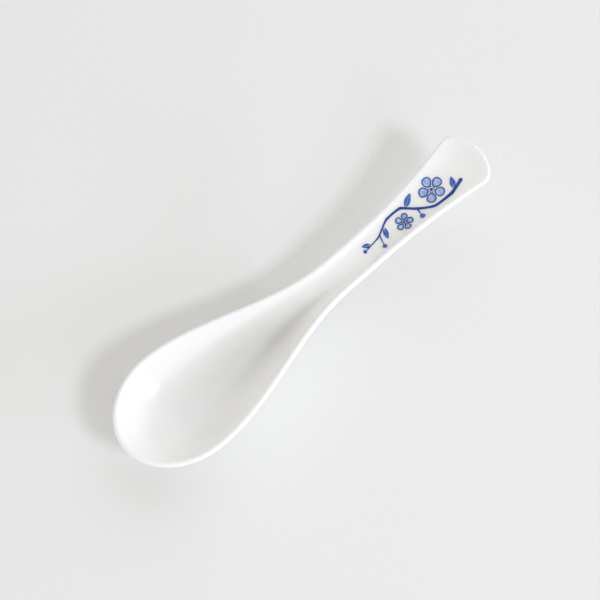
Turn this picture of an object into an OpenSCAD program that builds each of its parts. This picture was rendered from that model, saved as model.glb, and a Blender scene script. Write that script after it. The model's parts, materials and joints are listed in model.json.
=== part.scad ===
// Porcelain soup spoon: teardrop bowl running into a channelled handle that widens at its end.
// The spoon lies along X, bowl tip at the low end, and rests on the bare foot under its bowl.
// Distances along it count from the bowl tip. The origin is under the middle of its length, on the table.

/* [Outline] */
// length from the bowl tip to the handle end
spoon_length = 150; // [120:1:180]
// width across the bowl rim
bowl_width = 38.5; // [32:0.5:46]
// width of the handle where it is narrowest
neck_width = 13; // [11:0.2:16]
// width of the handle near its end
end_width = 20.8; // [16:0.2:26]
// how far the rounded handle end reaches past its straight sides
end_round = 6; // [4:0.5:9]

/* [Heights] */
// rim height over the table at the bowl tip
bowl_rim_height = 19.4; // [17:0.2:24]
// rim height over the table at the neck
neck_rim_height = 15.7; // [14.5:0.1:19]
// rim height over the table at the handle end
end_rim_height = 27; // [22:0.5:32]
// depth of the channel in the handle, next to the bowl
channel_depth = 3.2; // [2.4:0.1:4]
// depth that the channel still has at the handle end
end_channel_depth = 1.3; // [0.8:0.1:2.4]
// how far the middle line of the bowl climbs towards its tip
bow_rise = 8; // [5:0.5:10]

/* [Walls] */
// thickness of the rounded rim, glaze included
rim_thickness = 2.2; // [1.8:0.1:2.8]
// thickness of the bowl floor, glaze included
bowl_floor = 3.8; // [3:0.1:5]
// thickness of the handle under its channel, glaze included
handle_floor = 2.9; // [2.4:0.1:3.6]
// thickness of the clear glaze
glaze_thickness = 0.25; // [0.2:0.05:0.4]

/* [Foot] */
// length of the bare foot
foot_length = 40; // [34:1:42]
// width of the bare foot
foot_width = 10; // [8:0.5:12]
// how far the bare foot stands below the glaze
foot_proud = 0.4; // [0.3:0.1:0.8]

/* [Print] */
// width across the large blossom
blossom_width = 9; // [7.6:0.2:9.6]
// width across the small blossom
small_blossom_width = 6.2; // [5.4:0.2:6.6]
// length of the largest leaf
leaf_length = 4.6; // [4:0.2:5]
// thickness of the drawn lines
line_width = 0.4; // [0.3:0.05:0.5]
// thickness of the fired colour
colour_thickness = 0.08; // [0.06:0.01:0.12]

/* [Detail] */
// steps round each side of the bowl tip
bowl_steps = 8; // [6:1:10]
// steps along the straight run of each side
middle_steps = 30; // [24:1:34]
// steps round each side of the handle end
end_steps = 6; // [4:1:8]
// rows up the outside of the wall
outer_rows = 7; // [5:1:8]
// rows over the rounded rim
rim_rows = 4; // [3:1:5]
// rows down the inside of the wall
inner_rows = 8; // [6:1:9]

/* [Hidden] */
// places along the spoon, as shares of its length
widest_share = 0.158;
straight_share = 0.586;
flare_share = 0.684;
dip_share = 0.466;
keel_low_share = 0.42;
keel_high_share = 0.66;
floor_low_share = 0.37;
floor_high_share = 0.64;
keel_bow_share = 0.2;
floor_bow_share = 0.25;
foot_centre_share = 0.314;
film_share = 0.58;
widest_x = spoon_length * widest_share;
straight_x = spoon_length * straight_share;
flare_x = spoon_length * flare_share;
dip_x = spoon_length * dip_share;
cap_x = spoon_length - end_round;
foot_x = spoon_length * foot_centre_share;
middle_x = spoon_length / 2;
// how full the wall curves are: 2 is a parabola, more is flatter below and steeper above
bowl_outer_power = 2.7;
bowl_inner_power = 2.3;
handle_outer_power = 2.3;
handle_inner_power = 2;
// gap left between fused layers
fused_gap = 0.02;
// bare strip between the foot and the edge of the glaze
foot_margin = 0.2;
// how far the foot runs up into the body
foot_root = 2;
// height of the cutting shapes for the print, over the handle end
print_cut = end_rim_height * 2;
side_steps = bowl_steps + middle_steps + end_steps;
cap_step = bowl_steps + middle_steps;
ray_count = side_steps * 2;
last_row = outer_rows + rim_rows + inner_rows;
row_count = last_row + 1;

function mix(low, high, share) = low + (high - low) * share;
function ease(share) =
    let (held = min(1, max(0, share)))
    held * held * (3 - 2 * held);
function between(x, low, high) = ease((x - low) / (high - low));

// plan outline past the widest place: half the width at a distance along the spoon
function half_width(x) =
    x < flare_x
    ? mix(bowl_width, neck_width, between(x, widest_x, straight_x)) / 2
    : mix(neck_width, end_width, pow((x - flare_x) / (cap_x - flare_x), 2)) / 2;

// side view: rim height, underside and inner floor along the spoon
function rim_z(x) =
    x < dip_x
    ? mix(bowl_rim_height, neck_rim_height, between(x, 0, dip_x))
    : mix(neck_rim_height, end_rim_height, pow((x - dip_x) / (spoon_length - dip_x), 2));
function keel_share(x) = between(x / spoon_length, keel_low_share, keel_high_share);
function floor_share(x) = between(x / spoon_length, floor_low_share, floor_high_share);
function bow_z(x, share) = bow_rise * pow(max(0, 1 - x / (spoon_length * share)), 2);
function channel_z(x) =
    rim_z(x) - mix(channel_depth, end_channel_depth, between(x, flare_x, spoon_length));
function keel_z(x) =
    mix(foot_proud, channel_z(x) - handle_floor, keel_share(x)) + bow_z(x, keel_bow_share);
function floor_z(x) =
    mix(foot_proud + bowl_floor, channel_z(x), floor_share(x)) + bow_z(x, floor_bow_share);
function outer_power(x) = mix(bowl_outer_power, handle_outer_power, keel_share(x));
function inner_power(x) = mix(bowl_inner_power, handle_inner_power, floor_share(x));

// rays run from the middle line out to the rim, fanned at both ends of the spoon
function step_of(ray) = ray <= side_steps ? ray : ray_count - ray;
function side_of(ray) = ray <= side_steps ? -1 : 1;
function spine_x(step) =
    mix(widest_x, cap_x, min(1, max(0, (step - bowl_steps) / middle_steps)));
function rim_x(step) =
    step < bowl_steps
    ? widest_x * (1 - cos(90 * step / bowl_steps))
    : step <= cap_step
    ? spine_x(step)
    : cap_x + end_round * sin(90 * (step - cap_step) / end_steps);
function rim_y(step) =
    step < bowl_steps
    ? bowl_width / 2 * sin(90 * step / bowl_steps)
    : step <= cap_step
    ? half_width(rim_x(step))
    : end_width / 2 * cos(90 * (step - cap_step) / end_steps);
function reach(step) = norm([rim_x(step) - spine_x(step), rim_y(step)]);
function in_fan(ray) =
    let (one = step_of(ray), other = step_of((ray + 1) % ray_count))
    max(one, other) <= bowl_steps || min(one, other) >= cap_step;

// half the width of the opening in the glaze at a step
function foot_edge(step) =
    let (share = (spine_x(step) - foot_x) / (foot_length / 2))
    step > bowl_steps && step < cap_step && abs(share) < 1
    ? foot_width / 2 * sqrt(1 - share * share) + foot_margin
    : 0;

function ray_x(step, away) = mix(spine_x(step), rim_x(step), away / reach(step));
function on_ray(ray, away, z) =
    let (step = step_of(ray))
    [ray_x(step, away) - middle_x, side_of(ray) * rim_y(step) * away / reach(step), z];
function outer_point(ray, row, inset) =
    let (
        step = step_of(ray),
        full = reach(step) - inset,
        away = mix(foot_edge(step), full, row / outer_rows),
        low = keel_z(ray_x(step, away)) + inset,
        high = rim_z(rim_x(step)) - rim_thickness / 2
    )
    on_ray(ray, away, mix(low, high, pow(away / full, outer_power(spine_x(step)))));
function rim_point(ray, row, inset) =
    let (
        step = step_of(ray),
        turn = 180 * row / rim_rows,
        bead = rim_thickness / 2 - inset,
        away = reach(step) - rim_thickness / 2 + bead * cos(turn)
    )
    on_ray(ray, away, rim_z(rim_x(step)) - rim_thickness / 2 + bead * sin(turn));
function inner_point(ray, row, inset) =
    let (
        step = step_of(ray),
        full = reach(step) - rim_thickness + inset,
        share = 1 - row / inner_rows,
        low = floor_z(ray_x(step, full * share)) - inset,
        high = rim_z(rim_x(step)) - rim_thickness / 2
    )
    on_ray(ray, full * share, mix(low, high, pow(share, inner_power(spine_x(step)))));
function skin_point(ray, row, inset) =
    row <= outer_rows
    ? outer_point(ray, row, inset)
    : row < outer_rows + rim_rows
    ? rim_point(ray, row - outer_rows, inset)
    : inner_point(ray, row - outer_rows - rim_rows, inset);
function skin(inset) =
    [for (ray = [0:ray_count - 1], row = [0:last_row]) skin_point(ray, row, inset)];

// faces as pairs of triangles, seen from outside with their corners in clockwise order
function quad(one, two, three, four) = [[one, two, three], [one, three, four]];
function flipped(faces) = [for (face = faces) [face[2], face[1], face[0]]];
function moved(faces, by) = [for (face = faces) [for (corner = face) corner + by]];
function at(ray, row) = (ray % ray_count) * row_count + row;
skin_faces = [
    for (ray = [0:ray_count - 1], row = [0:last_row - 1])
        each [
            if (row > 0 || !in_fan(ray)) [at(ray, row), at(ray + 1, row + 1), at(ray + 1, row)],
            if (row < last_row - 1 || !in_fan(ray)) [at(ray, row), at(ray, row + 1), at(ray + 1, row + 1)]
        ]
];

module porcelain_body() {
    inset = glaze_thickness + fused_gap;
    spine = ray_count * row_count;
    spine_points = [
        for (ray = [0:ray_count - 1]) on_ray(ray, 0, keel_z(spine_x(step_of(ray))) + inset)
    ];
    sole_faces = [
        for (ray = [0:ray_count - 1])
            let (next = (ray + 1) % ray_count)
            each [
                if (foot_edge(step_of(next)) > 0) [spine + ray, at(next, 0), spine + next],
                if (foot_edge(step_of(ray)) > 0) [spine + ray, at(ray, 0), at(next, 0)]
            ]
    ];
    foot_outline = [
        for (ray = [0:ray_count - 1])
            let (half = foot_edge(step_of(ray)) - foot_margin)
            if (half > 0) [spine_x(step_of(ray)) - middle_x, side_of(ray) * half]
    ];
    color("#f1efe8")
    union() {
        polyhedron(concat(skin(inset), spine_points), concat(skin_faces, sole_faces));
        linear_extrude(foot_proud + foot_root)
        polygon(foot_outline);
    }
}

module clear_glaze() {
    under = ray_count * row_count;
    opening_faces = [
        for (ray = [0:ray_count - 1])
            let (next = (ray + 1) % ray_count)
            if (foot_edge(step_of(ray)) > 0 || foot_edge(step_of(next)) > 0)
                each quad(at(ray, 0), at(next, 0), under + at(next, 0), under + at(ray, 0))
    ];
    color("#fbfcfa")
    polyhedron(
        concat(skin(0), skin(glaze_thickness)),
        concat(skin_faces, moved(flipped(skin_faces), under), opening_faces)
    );
}

// sheet over the channel of the handle, from which the print is cut
film_first = bowl_steps + floor(middle_steps * film_share);
film_last = cap_step - film_first;
film_half = inner_rows - 1;
film_side = film_half * 2;
function film_point(step, across, inset) =
    skin_point(across <= 0 ? step : ray_count - step, last_row - abs(across), inset);
function film_layer(inset) = [
    for (step = [film_first:cap_step], across = [-film_half:film_half])
        film_point(step, across, inset)
];
function film_at(column, across) = column * (film_side + 1) + across;

module print_film() {
    under = (film_last + 1) * (film_side + 1);
    top_faces = [
        for (column = [0:film_last - 1], across = [0:film_side - 1])
            each quad(
                film_at(column, across),
                film_at(column, across + 1),
                film_at(column + 1, across + 1),
                film_at(column + 1, across)
            )
    ];
    long_edges = [
        for (column = [0:film_last - 1])
            let (near = film_at(column, 0), far = film_at(column + 1, 0))
            each concat(
                quad(near, far, under + far, under + near),
                quad(far + film_side, near + film_side, under + near + film_side, under + far + film_side)
            )
    ];
    short_edges = [
        for (across = [0:film_side - 1])
            let (low = film_at(0, across), high = film_at(film_last, across))
            each concat(
                quad(low + 1, low, under + low, under + low + 1),
                quad(high, high + 1, under + high + 1, under + high)
            )
    ];
    polyhedron(
        concat(film_layer(-fused_gap - colour_thickness), film_layer(-fused_gap)),
        concat(top_faces, moved(flipped(top_faces), under), long_edges, short_edges)
    );
}

module printed() {
    intersection() {
        print_film();
        linear_extrude(print_cut)
        children();
    }
}

// the print: a plum twig with two blossoms, laid along the channel of the handle
// places are shares of the spoon length and of the end width
function along(share) = share * spoon_length - middle_x;
function aside(share) = share * end_width;
large_place_shares = [0.87, 0.035];
small_place_shares = [0.78, -0.05];
// each joint of the twig: place, then how heavy the stroke is there
twig_shares = [
    [0.927, -0.178, 3.2],
    [0.893, -0.238, 3],
    [0.85, -0.205, 2.6],
    [0.82, -0.03, 2.4],
    [0.793, 0.155, 2.2],
    [0.753, 0.165, 1.8],
    [0.717, 0.05, 1.4],
    [0.68, 0.02, 0.9]
];
shoot_shares = [
    [[0.723, 0.07, 1.3], [0.714, -0.11, 0.8]],
    [[0.82, -0.03, 1.5], [0.817, -0.15, 0.9]]
];
// each leaf: place of its stem, direction, size against the largest leaf
leaf_shares = [
    [0.803, 0.115, 28, 1],
    [0.74, 0.1, -112, 0.85],
    [0.694, 0.035, 150, 0.7],
    [0.905, -0.2, 62, 0.9]
];
// each bud: place, size against the largest bud
bud_shares = [
    [0.713, -0.135, 0.9],
    [0.816, -0.185, 1],
    [0.675, 0.018, 0.75]
];
petal_count = 5;
petal_points = 26;
petal_place_share = 0.62;
petal_size_share = 0.37;
petal_waist_share = 0.96;
petal_egg_share = 0.16;
centre_share = 0.11;
stamen_low_share = 0.15;
stamen_high_share = 0.27;
stamen_line_share = 0.6;
leaf_bulge_share = 0.62;
leaf_slim_share = 0.22;
vein_line_share = 0.5;
vein_end_share = 0.8;
bud_line_share = 2.2;
clear_line_share = 0.3;

module place(shares) {
    translate([along(shares[0]), aside(shares[1])])
    children();
}

module both_blossoms() {
    place(large_place_shares)
    rotate(12)
    children(0);
    place(small_place_shares)
    rotate(-24)
    children(1);
}

// a petal is an egg shape, blunt end outwards
module petals(width, inset) {
    size = width / 2 * petal_size_share - inset;
    for (petal = [0:petal_count - 1])
        rotate(360 * petal / petal_count)
        translate([width / 2 * petal_place_share, 0])
        polygon([
            for (turn = [0:petal_points - 1])
                let (angle = 360 * turn / petal_points)
                size * [cos(angle), sin(angle) * (petal_waist_share + petal_egg_share * cos(angle))]
        ]);
}

module petal_rings(width) {
    difference() {
        petals(width, 0);
        petals(width, line_width);
    }
}

module stamen_strokes(width) {
    low = width / 2 * stamen_low_share;
    high = width / 2 * stamen_high_share;
    stroke_width = line_width * stamen_line_share;
    for (stroke = [0:petal_count * 2 - 1])
        rotate(180 * (stroke + 0.5) / petal_count)
        translate([low, -stroke_width / 2])
        square([high - low, stroke_width]);
}

// keeps the twig, the leaves and the buds clear of the blossoms
module blossom_zones() {
    both_blossoms() {
        circle(blossom_width / 2 + line_width * clear_line_share, $fn = 36);
        circle(small_blossom_width / 2 + line_width * clear_line_share, $fn = 36);
    }
}

module stroke(from, to) {
    start = [along(from[0]), aside(from[1])];
    end = [along(to[0]), aside(to[1])];
    run = (end - start) / norm(end - start);
    normal = [-run[1], run[0]] * line_width / 2;
    polygon([
        start + normal * from[2],
        end + normal * to[2],
        end - normal * to[2],
        start - normal * from[2]
    ]);
    translate(end)
    circle(line_width / 2 * to[2], $fn = 12);
}

module twig_strokes() {
    for (joint = [0:len(twig_shares) - 2])
        stroke(twig_shares[joint], twig_shares[joint + 1]);
    for (shoot = shoot_shares)
        stroke(shoot[0], shoot[1]);
}

module leaf_shape(size) {
    long = leaf_length * size;
    bulge = long * leaf_bulge_share;
    difference() {
        translate([long / 2, 0])
        intersection() {
            translate([0, bulge - long * leaf_slim_share])
            circle(bulge, $fn = 48);
            translate([0, long * leaf_slim_share - bulge])
            circle(bulge, $fn = 48);
        }
        translate([0, -line_width * vein_line_share / 2])
        square([long * vein_end_share, line_width * vein_line_share]);
    }
}

module leaf_patches() {
    for (leaf = leaf_shares)
        place(leaf)
        rotate(leaf[2])
        leaf_shape(leaf[3]);
}

module bud_patches() {
    for (bud = bud_shares)
        place(bud)
        circle(line_width * bud_line_share * bud[2], $fn = 20);
}

module branch() {
    color("#26407f")
    printed()
    difference() {
        twig_strokes();
        leaf_patches();
        bud_patches();
        blossom_zones();
    }
}

module leaves() {
    color("#3f63ad")
    printed()
    difference() {
        leaf_patches();
        blossom_zones();
    }
}

module petal_lines() {
    color("#26407f")
    printed()
    both_blossoms() {
        petal_rings(blossom_width);
        petal_rings(small_blossom_width);
    }
}

module petal_washes() {
    color("#8fa6d8")
    printed()
    both_blossoms() {
        petals(blossom_width, line_width);
        petals(small_blossom_width, line_width);
    }
}

module blossom_centres() {
    color("#1d3170")
    printed()
    both_blossoms() {
        circle(blossom_width / 2 * centre_share, $fn = 20);
        circle(small_blossom_width / 2 * centre_share, $fn = 20);
    }
}

module stamens() {
    color("#1d3170")
    printed()
    both_blossoms() {
        stamen_strokes(blossom_width);
        stamen_strokes(small_blossom_width);
    }
}

module buds() {
    color("#3f63ad")
    printed()
    bud_patches();
}

porcelain_body();
clear_glaze();
branch();
leaves();
petal_lines();
petal_washes();
blossom_centres();
stamens();
buds();
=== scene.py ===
import json
from math import cos, pi, radians, sin

import bmesh
import bpy
from mathutils import Matrix, Vector

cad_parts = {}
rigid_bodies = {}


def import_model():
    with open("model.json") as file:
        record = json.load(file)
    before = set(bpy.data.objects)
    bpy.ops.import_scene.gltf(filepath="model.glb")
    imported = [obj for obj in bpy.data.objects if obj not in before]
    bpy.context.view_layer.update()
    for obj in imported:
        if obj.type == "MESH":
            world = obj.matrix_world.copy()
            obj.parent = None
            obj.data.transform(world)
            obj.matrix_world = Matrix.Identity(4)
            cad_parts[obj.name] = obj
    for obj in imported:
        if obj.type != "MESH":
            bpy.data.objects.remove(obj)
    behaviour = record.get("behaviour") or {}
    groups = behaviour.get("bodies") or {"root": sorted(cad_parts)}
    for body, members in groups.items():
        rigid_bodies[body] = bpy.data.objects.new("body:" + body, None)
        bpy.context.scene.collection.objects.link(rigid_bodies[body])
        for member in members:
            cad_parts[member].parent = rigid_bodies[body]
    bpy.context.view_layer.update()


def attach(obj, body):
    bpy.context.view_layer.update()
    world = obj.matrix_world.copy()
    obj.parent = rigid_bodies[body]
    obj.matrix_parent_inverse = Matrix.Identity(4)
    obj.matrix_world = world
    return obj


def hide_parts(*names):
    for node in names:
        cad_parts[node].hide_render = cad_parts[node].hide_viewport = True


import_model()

# a porcelain soup spoon with a plum twig printed on its handle; sizes are written in mm and used in metres
mm = 0.001
tiny = 0.02 * mm  # slack where points are picked by their place
near = 0.05 * mm  # the same in the fans, whose points have been scaled
weld = 0.005 * mm  # points closer than this become one


# steps that come back

def startFresh():
    if bpy.context.object and bpy.context.object.mode != "OBJECT":
        bpy.ops.object.mode_set(mode="OBJECT")
    bpy.ops.object.select_all(action="DESELECT")


def takeOnly(piece):
    startFresh()
    piece.select_set(True)
    bpy.context.view_layer.objects.active = piece


def finishEdit(name):
    bpy.ops.object.mode_set(mode="OBJECT")
    piece = bpy.context.object
    piece.name = name
    piece.data.name = name
    return piece


def placeInMesh(piece):
    # the object itself stays at the origin
    takeOnly(piece)
    bpy.ops.object.transform_apply(location=True, rotation=True, scale=True)


def startPoint(spot):
    # a single point to draw from
    startFresh()
    bpy.ops.mesh.primitive_plane_add(size=mm, location=spot)
    placeInMesh(bpy.context.object)
    bpy.ops.object.mode_set(mode="EDIT")
    bpy.ops.mesh.select_mode(type="VERT")
    bpy.ops.mesh.select_all(action="SELECT")
    bpy.ops.mesh.merge(type="CENTER")


def pick(test):
    # selects the points that pass the test, with the edges between them
    mesh = bmesh.from_edit_mesh(bpy.context.object.data)
    for vert in mesh.verts:
        vert.select = test(vert)
    mesh.select_flush(True)
    mesh.select_flush(False)
    bmesh.update_edit_mesh(bpy.context.object.data)


def shift(x=0, y=0, z=0):
    bpy.ops.transform.translate(value=(x, y, z))


def scaleFrom(centre, x=1, y=1, z=1):
    bpy.ops.transform.resize(value=(x, y, z), center_override=centre)


def pullOut(x=0, y=0, z=0):
    bpy.ops.mesh.extrude_region_move(TRANSFORM_OT_translate={"value": (x, y, z)})


def applyModifier(piece, kind, **settings):
    modifier = piece.modifiers.new(kind.title(), kind)
    for key, value in settings.items():
        setattr(modifier, key, value)
    with bpy.context.temp_override(object=piece, active_object=piece):
        bpy.ops.object.modifier_apply(modifier=modifier.name)


def joinUp(pieces, name):
    startFresh()
    for piece in pieces:
        piece.select_set(True)
    bpy.context.view_layer.objects.active = pieces[0]
    if len(pieces) > 1:
        bpy.ops.object.join()
    joined = bpy.context.object
    joined.name = name
    joined.data.name = name
    return joined


def smoothUnder(piece, angle):
    takeOnly(piece)
    bpy.ops.object.shade_smooth_by_angle(angle=radians(angle))


def mix(low, high, share):
    return low + (high - low) * share


def ease(x, low, high):
    share = min(1, max(0, (x - low) / (high - low)))
    return share * share * (3 - 2 * share)


# the camera, where the photograph was taken from

cameraView = {
    "turn": 41.3,  # degrees, how far the spoon is turned in the picture
    "tilt": 71.0,  # degrees, how steeply the camera looks down
    "aim": (0.14, 3.05, 10.0),  # mm
    "distance": 461.0,  # mm
    "fieldOfView": 24.0,  # degrees
    "nearest": 10.0,  # mm, what is closer is not drawn
}

turn = radians(cameraView["turn"])
tilt = radians(cameraView["tilt"])
pictureRight = Vector((cos(turn), -sin(turn), 0))
pictureAway = Vector((sin(turn), cos(turn), 0))
looking = pictureAway * cos(tilt) - Vector((0, 0, sin(tilt)))
pictureUp = pictureAway * sin(tilt) + Vector((0, 0, cos(tilt)))

startFresh()
bpy.ops.object.camera_add()
camera = bpy.context.object
camera.name = "camera"
camera.data.angle = radians(cameraView["fieldOfView"])
camera.data.clip_start = cameraView["nearest"] * mm
camera.matrix_world = Matrix.Translation(
    Vector(cameraView["aim"]) * mm - looking * cameraView["distance"] * mm
) @ Matrix((pictureRight, pictureUp, -looking)).transposed().to_4x4()
bpy.context.scene.camera = camera
print("camera ready")


# the spoon's lines, from the same sizes as the solid model; x runs from the bowl tip, in mm

spoon = {
    "length": 150.0,
    "bowlWidth": 38.5,
    "neckWidth": 13.0,
    "endWidth": 20.8,
    "endRound": 6.0,  # how far the handle end is rounded along the spoon
    "bowlRimHeight": 19.4,
    "neckRimHeight": 15.7,
    "endRimHeight": 27.0,
    "channelDepth": 3.2,
    "endChannelDepth": 1.3,
    "rimThickness": 2.2,
    "bowlFloor": 3.8,
    "handleFloor": 2.9,
    "footProud": 0.4,  # how far the glazed keel stays over the table
    "bowRise": 8.0,  # how far the middle line climbs towards the bowl tip
    "widestShare": 0.158,  # where the bowl is widest, as a share of the length
    "straightShare": 0.586,  # where the neck is reached
    "flareShare": 0.684,  # where the handle begins to widen
    "dipShare": 0.466,  # where the rim is lowest
    "keelShares": (0.42, 0.66),  # from bowl to handle, below and inside
    "floorShares": (0.37, 0.64),
    "keelBowShare": 0.2,  # where the climb to the tip begins, below and inside
    "floorBowShare": 0.25,
    "outerPower": 2.6,  # how full the wall is: 2 is a parabola, more is flatter below
    "innerPower": 2.25,
    "tipRays": 10,  # rays round each side of the bowl tip
    "stations": 36,  # sections between the two fans
    "endRays": 7,  # rays round each side of the handle end
    "rowShares": (0.12, 0.24, 0.36, 0.48, 0.6, 0.71, 0.81, 0.9, 0.96, 1.0),  # keel to rim, of half the width
    "rimSlack": 0.18,  # how far the smoothing draws the rim in
    # how high on the bead the inner wall runs into it, in degrees, so that no crease shows
    "lipTurns": {"bowl": 30.0, "neck": 46.0, "end": 76.0},
    "beadRows": 3,
    "beadUp": (0.66, 0.12),  # rise of the three rows over the bead, then more for the middle one
    "beadFlatter": 0.0088,  # less rise for each degree more that the lip is turned
    "fineness": 2,  # levels of smoothing
}

middleX = spoon["length"] / 2
widestX = spoon["length"] * spoon["widestShare"]
straightX = spoon["length"] * spoon["straightShare"]
flareX = spoon["length"] * spoon["flareShare"]
dipX = spoon["length"] * spoon["dipShare"]
capX = spoon["length"] - spoon["endRound"]
bead = spoon["rimThickness"] / 2


def sceneX(x):
    return (x - middleX) * mm


def halfWidth(x):
    if x < flareX:
        return mix(spoon["bowlWidth"], spoon["neckWidth"], ease(x, widestX, straightX)) / 2
    flare = (x - flareX) / (capX - flareX)
    return mix(spoon["neckWidth"], spoon["endWidth"], flare ** 2) / 2


def rimHeight(x):
    if x < dipX:
        return mix(spoon["bowlRimHeight"], spoon["neckRimHeight"], ease(x, 0, dipX))
    rise = (x - dipX) / (spoon["length"] - dipX)
    return mix(spoon["neckRimHeight"], spoon["endRimHeight"], rise ** 2)


def lipHeight(x):
    return rimHeight(x) - bead


def channelDepth(x):
    return mix(spoon["channelDepth"], spoon["endChannelDepth"], ease(x, flareX, spoon["length"]))


def bowRise(x, share):
    ahead = max(0, 1 - x / (spoon["length"] * share))
    return spoon["bowRise"] * ahead ** 2


def keelHeight(x):
    raised = ease(x / spoon["length"], *spoon["keelShares"])
    handle = rimHeight(x) - channelDepth(x) - spoon["handleFloor"]
    return mix(spoon["footProud"], handle, raised) + bowRise(x, spoon["keelBowShare"])


def floorHeight(x):
    raised = ease(x / spoon["length"], *spoon["floorShares"])
    bowl = spoon["footProud"] + spoon["bowlFloor"]
    return mix(bowl, rimHeight(x) - channelDepth(x), raised) + bowRise(x, spoon["floorBowShare"])


def lipTurn(x):
    turns = spoon["lipTurns"]
    if x < flareX:
        return mix(turns["bowl"], turns["neck"], ease(x, widestX, straightX))
    return mix(turns["neck"], turns["end"], ease(x, flareX, spoon["length"]))


def wallSheet(name, trim, low, lip, power):
    # one face of the wall, both sides up to the lip; trim is how far it stays inside the outline
    startX = sceneX(widestX)
    endX = sceneX(capX)

    def sectionAt(x):
        return (halfWidth(x) - trim(x)) * mm, low(x) * mm, lip(x) * mm

    width, bottom, top = sectionAt(widestX)
    startPoint((startX, 0, bottom))
    before = 0
    for share in spoon["rowShares"]:  # half a section, drawn point by point
        rise = (share ** power - before ** power) * (top - bottom)
        pullOut(y=-(share - before) * width, z=rise)
        before = share
    bpy.ops.mesh.select_all(action="SELECT")
    bpy.ops.mesh.spin(steps=spoon["tipRays"] * 2, angle=pi, center=(startX, 0, 0), axis=(0, 0, 1))
    pick(lambda vert: vert.co.x < startX - tiny)
    tipReach = (widestX - trim(widestX)) * mm
    scaleFrom((startX, 0, 0), x=tipReach / width)
    liftFan(startX, -tipReach, width, spoon["tipRays"], bottom, top, low, lip, power)
    for station in range(1, spoon["stations"] + 1):  # the section runs on along the spoon
        x = mix(widestX, capX, station / spoon["stations"])
        here = sceneX(mix(widestX, capX, (station - 1) / spoon["stations"]))
        pick(lambda vert: abs(vert.co.x - here) < tiny)
        pullOut(x=sceneX(x) - here)
        nextWidth, nextBottom, nextTop = sectionAt(x)
        scaleFrom((0, 0, bottom), y=nextWidth / width, z=(nextTop - nextBottom) / (top - bottom))
        shift(z=nextBottom - bottom)
        width, bottom, top = nextWidth, nextBottom, nextTop
    pick(lambda vert: abs(vert.co.x - endX) < tiny and vert.co.y < tiny)
    bpy.ops.mesh.spin(steps=spoon["endRays"] * 2, angle=-pi, center=(endX, 0, 0), axis=(0, 0, 1))
    pick(lambda vert: vert.co.x > endX + tiny)
    endReach = (spoon["endRound"] - trim(capX)) * mm
    scaleFrom((endX, 0, 0), x=endReach / width)
    liftFan(endX, endReach, width, spoon["endRays"], bottom, top, low, lip, power)
    bpy.ops.mesh.select_all(action="SELECT")
    bpy.ops.mesh.remove_doubles(threshold=weld)
    return finishEdit(name)


def liftFan(fromX, long, wide, rays, bottom, top, low, lip, power):
    # each point of a fan goes to its own height, between the floor below it and the lip at its ray's end
    for ray in range(1, rays + 1):
        angle = pi / 2 * ray / rays
        rayTop = lip((fromX + long * sin(angle)) / mm + middleX) * mm
        for share in spoon["rowShares"]:
            x = fromX + long * share * sin(angle)
            y = wide * share * cos(angle)
            floor = low(x / mm + middleX) * mm
            pick(lambda vert: abs(vert.co.x - x) < near and abs(abs(vert.co.y) - y) < near)
            shift(z=mix(floor, rayTop, share ** power) - mix(bottom, top, share ** power))


def roundBead(radius):
    # lifts the flat rows over the rim into a round bead, one section after the other
    mesh = bmesh.from_edit_mesh(bpy.context.object.data)
    mesh.verts.index_update()
    rows = {vert.index for vert in mesh.verts if all(face.select for face in vert.link_faces)}
    pick(lambda vert: vert.index in rows)
    bpy.ops.mesh.select_less()
    mesh = bmesh.from_edit_mesh(bpy.context.object.data)
    crest = {vert.index for vert in mesh.verts if vert.select}
    step = (capX - widestX) / spoon["stations"]
    for station in range(spoon["stations"] + 1):
        x = widestX + station * step
        fromX = -1 if station == 0 else sceneX(x - step / 2)  # the first and last take the fans in
        toX = 1 if station == spoon["stations"] else sceneX(x + step / 2)
        flatter = 1 - spoon["beadFlatter"] * (lipTurn(x) - spoon["lipTurns"]["bowl"])
        for part, rise in zip((rows, crest), spoon["beadUp"]):
            pick(lambda vert: vert.index in part and fromX < vert.co.x <= toX)
            shift(z=radius * rise * flatter * mm)


def spoonWall(name, inset):
    # outer and inner sheet, joined over the rim by a round bead
    radius = bead - inset
    slack = spoon["rimSlack"]
    outer = wallSheet(
        name + "Outer", lambda x: inset - slack,
        lambda x: keelHeight(x) + inset, lipHeight, spoon["outerPower"],
    )
    inner = wallSheet(
        name + "Inner", lambda x: bead + radius * cos(radians(lipTurn(x))) - slack,
        lambda x: floorHeight(x) - inset, lambda x: lipHeight(x) + radius * sin(radians(lipTurn(x))),
        spoon["innerPower"],
    )
    wall = joinUp([outer, inner], name)
    bpy.ops.object.mode_set(mode="EDIT")
    bpy.ops.mesh.select_mode(type="EDGE")
    bpy.ops.mesh.select_all(action="DESELECT")
    bpy.ops.mesh.select_non_manifold(
        extend=False, use_wire=False, use_boundary=True, use_multi_face=False,
        use_non_contiguous=False, use_verts=False,
    )
    bpy.ops.mesh.bridge_edge_loops(number_cuts=spoon["beadRows"], interpolation="LINEAR")
    bpy.ops.mesh.select_mode(type="VERT")
    roundBead(radius)
    bpy.ops.mesh.select_all(action="SELECT")
    bpy.ops.mesh.normals_make_consistent(inside=False)
    finishEdit(name)
    applyModifier(wall, "SUBSURF", levels=spoon["fineness"], render_levels=spoon["fineness"])
    takeOnly(wall)
    bpy.ops.object.shade_smooth()
    return wall


skin = spoonWall("glazedSkin", 0)
print("glazed skin ready:", len(skin.data.polygons), "faces")

biscuitShape = {
    "depth": 0.27,  # mm under the face of the glaze
    "footCentreShare": 0.314,  # of the spoon's length
    "footLength": 40.0,
    "footWidth": 10.0,
    "footHeight": 2.0,
    "footEdge": 0.25,  # rounding of its edge
    "footEdgeSteps": 3,
    "footPoints": 72,
    "smoothUnder": 40.0,  # degrees
}

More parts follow.
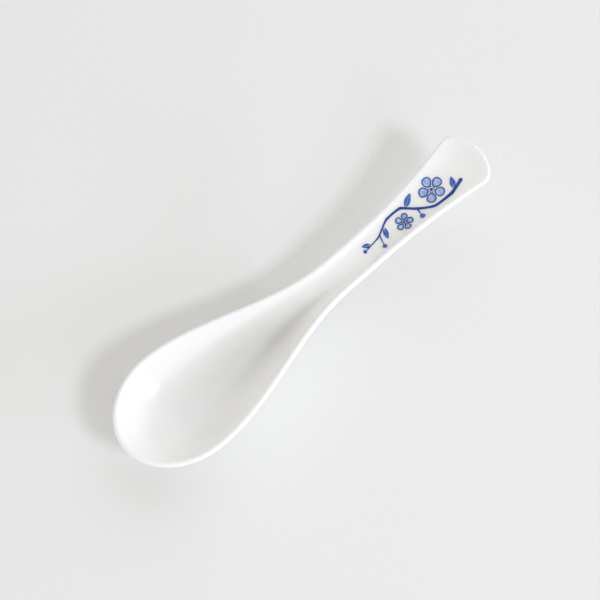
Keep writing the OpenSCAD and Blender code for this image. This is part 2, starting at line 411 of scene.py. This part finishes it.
core = spoonWall("biscuitCore", biscuitShape["depth"])
startFresh()
bpy.ops.mesh.primitive_cylinder_add(
    vertices=biscuitShape["footPoints"], radius=mm / 2, depth=biscuitShape["footHeight"] * mm,
    location=(
        (biscuitShape["footCentreShare"] - 0.5) * spoon["length"] * mm, 0,
        biscuitShape["footHeight"] / 2 * mm,
    ),
)
foot = bpy.context.object
foot.scale = (biscuitShape["footLength"], biscuitShape["footWidth"], 1)
placeInMesh(foot)
bpy.ops.object.mode_set(mode="EDIT")
pick(lambda vert: vert.co.z < tiny)
bpy.ops.mesh.bevel(
    offset=biscuitShape["footEdge"] * mm, segments=biscuitShape["footEdgeSteps"], affect="EDGES"
)
finishEdit("foot")
smoothUnder(foot, biscuitShape["smoothUnder"])
core = joinUp([core, foot], "biscuitCore")
print("biscuit core and foot ready")


# the print: a plum twig laid along the channel of the handle

twigPrint = {
    "drawHeight": 60.0,  # mm, the motifs are drawn flat up here and then laid on the glaze
    "lift": 0.03,  # mm over the glaze
    "thickness": 0.05,
    "smoothUnder": 35.0,  # degrees
    "line": 0.4,  # mm, the outlines
    "blossoms": (  # place along and aside, as shares of length and end width; width in mm; turn in degrees
        ((0.87, 0.035), 9.0, 12.0),
        ((0.78, -0.05), 6.2, -24.0),
    ),
    "petals": 5,
    "petalPlace": 0.62,  # a share of half the blossom's width, as are its size, the eye and the stamens' ends
    "petalSize": 0.37,
    "petalWaist": 0.96,  # width of a petal against its length
    "petalEgg": 0.16,  # how much fuller its outer end is
    "petalPoints": 26,
    "eye": 0.11,
    "stamens": 10,
    "stamenFrom": 0.15,
    "stamenTo": 0.27,
    "stamenWidths": (0.5, 0.55, 0.7),  # in lines, from the eye outwards
    "twig": (  # joints: place along, place aside, width of the stroke in lines
        (0.927, -0.178, 3.2), (0.893, -0.238, 3.0), (0.85, -0.205, 2.6), (0.82, -0.03, 2.4),
        (0.793, 0.155, 2.2), (0.753, 0.165, 1.8), (0.717, 0.05, 1.4), (0.68, 0.02, 0.9),
    ),
    "twigSteps": 4,  # points from joint to joint
    "shoots": (
        ((0.723, 0.07, 1.3), (0.7185, -0.02, 1.0), (0.714, -0.11, 0.8)),
        ((0.82, -0.03, 1.5), (0.8185, -0.09, 1.1), (0.817, -0.15, 0.9)),
    ),
    "shootSteps": 2,
    "brushLift": 0.16,  # how much thinner a stroke gets between two joints
    "rounding": 0.25,  # of the twig at its joints; a spline has 0.5, and here the joints still show
    "leaves": (  # place of the stem along and aside, direction in degrees, size
        (0.803, 0.115, 28.0, 1.0), (0.74, 0.1, -112.0, 0.85), (0.694, 0.035, 150.0, 0.7),
        (0.905, -0.2, 62.0, 0.9),
    ),
    "leafLength": 4.6,
    "leafHalf": 0.2,  # width of half a leaf, against its length
    "leafFull": 0.8,  # under 1 the leaf is widest nearer to its stem
    "edgeShares": (0.02, 0.1, 0.2, 0.32, 0.45, 0.58, 0.7, 0.82, 0.92, 0.99),  # of the leaf, stem to tip
    "veinShares": (0.9, 0.6, 0.3, 0.05),  # and back along its vein
    "vein": 0.2,  # mm, left bare
    "buds": ((0.713, -0.135, 0.9), (0.816, -0.185, 1.0), (0.675, 0.018, 0.75)),  # place, size
    "budSize": 0.88,  # mm, radius of the largest
    "dotPoints": 18,
}
line = twigPrint["line"]


def spotOf(along, aside):
    return Vector(((along - 0.5) * spoon["length"], aside * spoon["endWidth"], twigPrint["drawHeight"])) * mm


def drawOutline(spots, name):
    # an outline drawn point by point, then filled
    startPoint(spots[0])
    for before, spot in zip(spots, spots[1:]):
        step = spot - before
        pullOut(x=step.x, y=step.y)
    bpy.ops.mesh.select_all(action="SELECT")
    bpy.ops.mesh.edge_face_add()
    return finishEdit(name)


def drawStroke(spots, widths, name):
    # a brush stroke: one edge across the path, drawn along it, turned and widened at each point
    headings = []
    for i in range(len(spots)):
        run = spots[min(i + 1, len(spots) - 1)] - spots[max(i - 1, 0)]
        headings.append(run.normalized())
    across = Vector((-headings[0].y, headings[0].x, 0)) * widths[0]
    startPoint(spots[0] - across / 2)
    pullOut(x=across.x, y=across.y)
    bpy.ops.mesh.select_all(action="SELECT")
    for i in range(1, len(spots)):
        step = spots[i] - spots[i - 1]
        turned = headings[i - 1].xy.angle_signed(headings[i].xy)
        pullOut(x=step.x, y=step.y)
        bpy.ops.transform.rotate(value=turned, orient_axis="Z", center_override=spots[i])
        wider = widths[i] / widths[i - 1]
        scaleFrom(spots[i], x=wider, y=wider)
    return finishEdit(name)


def drawDot(spot, radius, name):
    startFresh()
    bpy.ops.mesh.primitive_circle_add(
        vertices=twigPrint["dotPoints"], radius=radius, fill_type="TRIFAN", location=spot
    )
    placeInMesh(bpy.context.object)
    bpy.ops.object.mode_set(mode="EDIT")
    return finishEdit(name)


def copyOf(piece, turned, spot):
    copied = piece.copy()
    copied.data = piece.data.copy()
    bpy.context.collection.objects.link(copied)
    copied.matrix_world = Matrix.Translation(spot) @ Matrix.Rotation(radians(turned), 4, "Z")
    placeInMesh(copied)
    return copied


def layOnGlaze(piece, cuts):
    # cut finely, dropped onto the glaze and given the thickness of a coat of colour
    takeOnly(piece)
    bpy.ops.object.mode_set(mode="EDIT")
    bpy.ops.mesh.select_all(action="SELECT")
    bpy.ops.mesh.quads_convert_to_tris(ngon_method="BEAUTY")
    if cuts:
        bpy.ops.mesh.subdivide(number_cuts=cuts)
    bpy.ops.mesh.normals_make_consistent(inside=False)
    finishEdit(piece.name)
    if piece.data.polygons[0].normal.z < 0:
        piece.data.flip_normals()
    applyModifier(
        piece, "SHRINKWRAP", target=skin, wrap_method="PROJECT", use_project_z=True,
        use_negative_direction=True, use_positive_direction=False, offset=twigPrint["lift"] * mm,
    )
    applyModifier(piece, "SOLIDIFY", thickness=twigPrint["thickness"] * mm, offset=1.0)
    smoothUnder(piece, twigPrint["smoothUnder"])
    return piece


def petalEdge(half):
    # the edge of one petal, an egg with its blunt end outwards
    size = half * twigPrint["petalSize"]
    edge = []
    for i in range(twigPrint["petalPoints"]):
        angle = 2 * pi * i / twigPrint["petalPoints"]
        fullness = twigPrint["petalWaist"] + twigPrint["petalEgg"] * cos(angle)
        outwards = half * twigPrint["petalPlace"] + size * cos(angle)
        edge.append(Vector((outwards, size * sin(angle) * fullness, 0)))
    return edge


def makeBlossoms():
    pieces = {"outline": [], "wash": [], "eye": [], "stamen": []}
    for (along, aside), width, turned in twigPrint["blossoms"]:
        spot = spotOf(along, aside)
        half = width / 2 * mm
        petal = drawOutline(petalEdge(half), "petal")
        bpy.ops.object.mode_set(mode="EDIT")
        bpy.ops.mesh.select_all(action="SELECT")
        bpy.ops.mesh.inset(thickness=line * mm)
        bpy.ops.mesh.separate(type="SELECTED")
        finishEdit("petal")
        wash = next(o for o in bpy.context.selected_objects if o != petal)
        petalTurn = 360 / twigPrint["petals"]
        for i in range(twigPrint["petals"]):
            for piece, kind in ((petal, "outline"), (wash, "wash")):
                pieces[kind].append(copyOf(piece, turned + petalTurn * i, spot))
        bpy.data.objects.remove(petal)
        bpy.data.objects.remove(wash)
        pieces["eye"].append(drawDot(spot, half * twigPrint["eye"], "eye"))
        low, high = half * twigPrint["stamenFrom"], half * twigPrint["stamenTo"]
        stroke = drawStroke(
            [Vector((mix(low, high, share), 0, 0)) for share in (0, 0.5, 1)],
            [line * wide * mm for wide in twigPrint["stamenWidths"]], "stamen",
        )
        stamenTurn = 360 / twigPrint["stamens"]
        for i in range(twigPrint["stamens"]):
            pieces["stamen"].append(copyOf(stroke, turned + stamenTurn * (i + 0.5), spot))
        bpy.data.objects.remove(stroke)
    return pieces


def smoothPath(joints, steps):
    # a softened run through the joints of the twig: spots and widths
    spots, widths = [], []
    places = [spotOf(along, aside) for along, aside, _ in joints]
    strokes = [stroke * line * mm for _, _, stroke in joints]
    for i in range(len(joints) - 1):
        before, after = places[max(i - 1, 0)], places[min(i + 2, len(joints) - 1)]
        start, end = places[i], places[i + 1]
        leave, arrive = (end - before) * twigPrint["rounding"], (after - start) * twigPrint["rounding"]
        for k in range(steps):
            t = k / steps
            spots.append(
                start * (2 * t ** 3 - 3 * t ** 2 + 1) + leave * (t ** 3 - 2 * t ** 2 + t)
                + end * (3 * t ** 2 - 2 * t ** 3) + arrive * (t ** 3 - t ** 2)
            )
            pressed = 1 - twigPrint["brushLift"] * sin(pi * t)
            widths.append(mix(strokes[i], strokes[i + 1], t) * pressed)
    return spots + [places[-1]], widths + [strokes[-1]]


def makeTwig():
    strokes = [drawStroke(*smoothPath(twigPrint["twig"], twigPrint["twigSteps"]), "twig")]
    for shoot in twigPrint["shoots"]:
        strokes.append(drawStroke(*smoothPath(shoot, twigPrint["shootSteps"]), "shoot"))
    along, aside, stroke = twigPrint["twig"][0]
    strokes.append(drawDot(spotOf(along, aside), stroke / 2 * line * mm, "cutEnd"))
    return strokes


def makeLeaves():
    halves = []
    for along, aside, heading, size in twigPrint["leaves"]:
        long = twigPrint["leafLength"] * size * mm
        wide = long * twigPrint["leafHalf"]
        gap = twigPrint["vein"] / 2 * mm
        for side in (-1, 1):
            # half a leaf, full near its stem and pointed at its tip
            edge = [
                Vector((long * t, side * (gap + wide * sin(pi * t ** twigPrint["leafFull"])), 0))
                for t in twigPrint["edgeShares"]
            ]
            vein = [Vector((long * t, side * gap * (1 - t), 0)) for t in twigPrint["veinShares"]]
            half = drawOutline(edge + vein, "leafHalf")
            halves.append(copyOf(half, heading, spotOf(along, aside)))
            bpy.data.objects.remove(half)
    return halves


def makeBuds():
    return [
        drawDot(spotOf(along, aside), twigPrint["budSize"] * size * mm, "bud")
        for along, aside, size in twigPrint["buds"]
    ]


blossoms = makeBlossoms()
petalOutlines = layOnGlaze(joinUp(blossoms["outline"], "petalOutlines"), cuts=0)
petalWashes = layOnGlaze(joinUp(blossoms["wash"], "petalWashes"), cuts=2)
blossomEyes = layOnGlaze(joinUp(blossoms["eye"], "blossomEyes"), cuts=1)
stamens = layOnGlaze(joinUp(blossoms["stamen"], "stamenStrokes"), cuts=0)
twig = layOnGlaze(joinUp(makeTwig(), "twigStrokes"), cuts=1)
leaves = layOnGlaze(joinUp(makeLeaves(), "leafWashes"), cuts=1)
budDots = layOnGlaze(joinUp(makeBuds(), "budDots"), cuts=1)
print("print laid on the glaze")


# materials

def linear(hexColour):
    parts = [int(hexColour[i:i + 2], 16) / 255 for i in (1, 3, 5)]
    return tuple(p / 12.92 if p <= 0.04045 else ((p + 0.055) / 1.055) ** 2.4 for p in parts) + (1,)


def addNode(material, kind, links=None, stops=(), **settings):
    # links lead from an input's name to another node's output, stops are the places and colours of a ramp,
    # and the other settings are properties of the node or values of its sockets
    made = material.node_tree.nodes.new(kind)
    for key, value in settings.items():
        if hasattr(made, key):
            setattr(made, key, value)
        else:
            made.inputs[key.replace("_", " ")].default_value = value
    for key, output in (links or {}).items():
        material.node_tree.links.new(output, made.inputs[key])
    for _ in stops[2:]:  # a new ramp has two stops
        made.color_ramp.elements.new(1)
    for number, (place, hexColour) in enumerate(stops):
        made.color_ramp.elements[number].position = place
        made.color_ramp.elements[number].color = linear(hexColour)
    return made


def newMaterial(name):
    material = bpy.data.materials.new(name)
    material.use_nodes = True
    material.node_tree.nodes.clear()
    place = addNode(material, "ShaderNodeTexCoord").outputs["Object"]
    return material, place


# glazed porcelain, fired glossy: white, with painted shade, a greyer patch at the back of the bowl where its
# deep trough lies in shade
porcelainLook = {
    "whites": ((0.35, "#f6f6f5"), (0.65, "#f4f4f3")),  # of soft patches, each with its place in the noise
    "clouding": 22.0,  # mm, the size of the patches
    # painted shade: the greyer colour of the patch at the back of the bowl, with its middle and reach, stands
    # in for the shade in the deep trough
    "pooledAndPaintedShade": "#e7e8e4",
    "paintedShadeMiddle": (-25.0, 2.0, 6.5),  # mm
    "paintedShadeReach": (34.0, 12.0, 8.0),
    "ripple": 7.0,  # mm, the faint waviness of a fired glaze
    "rippleHeight": 0.012,  # mm
    "roughness": 0.14,
    "ior": 1.5,
    "glow": 0.8,  # thin porcelain lets light through
    "glowDepth": 2.5,  # mm
    "glowSpread": (1.0, 0.9, 0.8),  # red light goes a little further than blue
}


def makeGlazedPorcelain():
    look = porcelainLook
    material, place = newMaterial("glazedPorcelain")
    clouding = addNode(
        material, "ShaderNodeTexNoise", {"Vector": place}, Scale=1 / (look["clouding"] * mm), Detail=2.0
    )
    clouded = addNode(
        material, "ShaderNodeValToRGB", {"Fac": clouding.outputs["Fac"]}, stops=look["whites"]
    )
    # painted shade: a soft patch at the back of the bowl is mixed into the white, greyest at its middle
    inPaintedShade = addNode(
        material, "ShaderNodeMapping", {"Vector": place}, vector_type="TEXTURE",
        Location=Vector(look["paintedShadeMiddle"]) * mm, Scale=Vector(look["paintedShadeReach"]) * mm,
    )
    paintedShadeMask = addNode(
        material, "ShaderNodeTexGradient", {"Vector": inPaintedShade.outputs["Vector"]}, gradient_type="SPHERICAL"
    )
    colour = addNode(
        material, "ShaderNodeMixRGB", {"Fac": paintedShadeMask.outputs["Fac"], "Color1": clouded.outputs["Color"]},
        Color2=linear(look["pooledAndPaintedShade"]),
    )
    ripple = addNode(
        material, "ShaderNodeTexNoise", {"Vector": place}, Scale=1 / (look["ripple"] * mm), Detail=1.0
    )
    bump = addNode(
        material, "ShaderNodeBump", {"Height": ripple.outputs["Fac"]},
        Strength=1.0, Distance=look["rippleHeight"] * mm,
    )
    surface = addNode(
        material, "ShaderNodeBsdfPrincipled",
        {"Base Color": colour.outputs["Color"], "Normal": bump.outputs["Normal"]},
        Roughness=look["roughness"], IOR=look["ior"], Subsurface_Weight=look["glow"],
        Subsurface_Radius=look["glowSpread"], Subsurface_Scale=look["glowDepth"] * mm,
    )
    addNode(material, "ShaderNodeOutputMaterial", {"Surface": surface.outputs["BSDF"]})
    return material


# biscuit porcelain, ground flat and left unglazed: dry, fine grained and slightly warmer
biscuitLook = {
    "colours": ((0.3, "#e9e4da"), (0.62, "#ddd6c8"), (0.8, "#cfc7b8")),  # clean, handled, smudged
    "smudge": 6.0,  # mm
    "grain": 0.5,  # mm, coarser than the real grain, so that it shows
    "grainHeight": 0.02,  # mm
    "roughness": 0.8,
    "ior": 1.5,
}


def makeBiscuit():
    look = biscuitLook
    material, place = newMaterial("biscuitPorcelain")
    smudge = addNode(
        material, "ShaderNodeTexNoise", {"Vector": place}, Scale=1 / (look["smudge"] * mm), Detail=3.0
    )
    colour = addNode(
        material, "ShaderNodeValToRGB", {"Fac": smudge.outputs["Fac"]}, stops=look["colours"]
    )
    grain = addNode(
        material, "ShaderNodeTexNoise", {"Vector": place}, Scale=1 / (look["grain"] * mm), Detail=3.0
    )
    bump = addNode(
        material, "ShaderNodeBump", {"Height": grain.outputs["Fac"]},
        Strength=1.0, Distance=look["grainHeight"] * mm,
    )
    surface = addNode(
        material, "ShaderNodeBsdfPrincipled",
        {"Base Color": colour.outputs["Color"], "Normal": bump.outputs["Normal"]},
        Roughness=look["roughness"], IOR=look["ior"],
    )
    addNode(material, "ShaderNodeOutputMaterial", {"Surface": surface.outputs["BSDF"]})
    return material


# underglaze cobalt blue, printed and fired: glossy like the glaze, denser where the colour pooled
cobaltLook = {
    "line": ((0.38, "#1d3b86"), (0.66, "#2f5cae")),  # dense, thin
    "middle": ((0.38, "#2f57ab"), (0.66, "#4f7fcb")),
    "pale": ((0.38, "#8ba8dc"), (0.66, "#bccdec")),
    "pooling": 1.1,  # mm, coarser than the real grain, so that it shows
    "roughness": 0.09,
    "ior": 1.5,
}


def makeCobalt(name, tone):
    look = cobaltLook
    material, place = newMaterial(name)
    pooledAndPaintedShade = addNode(
        material, "ShaderNodeTexNoise", {"Vector": place}, Scale=1 / (look["pooling"] * mm), Detail=3.0
    )
    colour = addNode(
        material, "ShaderNodeValToRGB", {"Fac": pooledAndPaintedShade.outputs["Fac"]}, stops=look[tone]
    )
    surface = addNode(
        material, "ShaderNodeBsdfPrincipled", {"Base Color": colour.outputs["Color"]},
        Roughness=look["roughness"], IOR=look["ior"],
    )
    addNode(material, "ShaderNodeOutputMaterial", {"Surface": surface.outputs["BSDF"]})
    return material


glazedPorcelain = makeGlazedPorcelain()
biscuit = makeBiscuit()
cobaltLine = makeCobalt("cobaltLine", "line")
cobaltMiddle = makeCobalt("cobaltMiddle", "middle")
cobaltPale = makeCobalt("cobaltPale", "pale")


def dress(piece, material, slot, *nodes):
    piece.data.materials.clear()
    piece.data.materials.append(material)
    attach(piece, "root")
    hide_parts(*nodes)


dress(skin, glazedPorcelain, "glaze", "clear_glaze")
dress(core, biscuit, "bisque", "porcelain_body")
dress(twig, cobaltLine, "cobalt_line", "branch")
dress(petalOutlines, cobaltLine, "cobalt_line", "petal_lines")
dress(blossomEyes, cobaltLine, "cobalt_line", "blossom_centres")
dress(stamens, cobaltLine, "cobalt_line", "stamens")
dress(leaves, cobaltMiddle, "cobalt_mid", "leaves")
dress(budDots, cobaltMiddle, "cobalt_mid", "buds")
dress(petalWashes, cobaltPale, "cobalt_pale", "petal_washes")
print("materials ready")


# the table under the spoon, taken as rolled with matte white paint: dull, with the fine grain of the roller
tableTop = {
    "size": 6.0,  # m
    "colour": "#f1f1f0",
    "grain": 1.6,  # mm
    "grainHeight": 0.085,  # mm
    "roughness": 0.9,
}


def makeTablePaint():
    look = tableTop
    material, place = newMaterial("matteWhitePaint")
    grain = addNode(
        material, "ShaderNodeTexNoise", {"Vector": place}, Scale=1 / (look["grain"] * mm), Detail=1.0
    )
    bump = addNode(
        material, "ShaderNodeBump", {"Height": grain.outputs["Fac"]},
        Strength=1.0, Distance=look["grainHeight"] * mm,
    )
    surface = addNode(
        material, "ShaderNodeBsdfPrincipled", {"Normal": bump.outputs["Normal"]},
        Base_Color=linear(look["colour"]), Roughness=look["roughness"],
    )
    addNode(material, "ShaderNodeOutputMaterial", {"Surface": surface.outputs["BSDF"]})
    return material


startFresh()
bpy.ops.mesh.primitive_plane_add(size=tableTop["size"])
table = bpy.context.object
table.name = "tableTop"
table.data.materials.append(makeTablePaint())


# soft daylight from the picture's lower right, and pale walls around

roomLights = {  # azimuth in degrees from +X, on the side that the light comes from; sizes in m, power in W
    "windowLight": {"azimuth": -97.0, "elevation": 29.0, "width": 0.7, "height": 0.5, "power": 4.0},
    "windowTop": {"azimuth": -80.0, "elevation": 46.5, "width": 0.45, "height": 0.4, "power": 13.5},
    "lowWindow": {"azimuth": -57.0, "elevation": 13.5, "width": 0.8, "height": 0.3, "power": 10.5},
    "paleWall": {"azimuth": 22.0, "elevation": 46.0, "width": 3.4, "height": 2.4, "power": 21.0},
    "farWall": {"azimuth": 182.0, "elevation": 9.0, "width": 1.6, "height": 0.35, "power": 12.0},
    "windowSill": {"azimuth": -80.0, "elevation": 5.5, "width": 1.0, "height": 0.36, "power": 1.5},
}
mirrored = ("lowWindow", "windowSill")  # the others only light the glaze, without a hard streak in it
lightColour = "#f0f5ff"
lightDistance = 2.2  # m
roomColour = "#fffaf0"  # what fills the shadows is slightly warm
roomStrength = 0.47

for name, look in roomLights.items():
    azimuth = radians(look["azimuth"])
    elevation = radians(look["elevation"])
    towards = Vector((cos(azimuth) * cos(elevation), sin(azimuth) * cos(elevation), sin(elevation)))
    startFresh()
    bpy.ops.object.light_add(type="AREA", location=towards * lightDistance)
    light = bpy.context.object
    light.name = name
    light.data.shape = "RECTANGLE"
    light.data.size = look["width"]
    light.data.size_y = look["height"]
    light.data.energy = look["power"]
    light.data.color = linear(lightColour)[:3]
    light.visible_glossy = name in mirrored
    light.rotation_euler = towards.to_track_quat("Z", "Y").to_euler()

world = bpy.data.worlds.new("softRoom")
bpy.context.scene.world = world
world.use_nodes = True
background = world.node_tree.nodes["Background"]
background.inputs["Color"].default_value = linear(roomColour)
background.inputs["Strength"].default_value = roomStrength
bpy.context.scene.view_settings.view_transform = "Standard"
print("table and light ready")
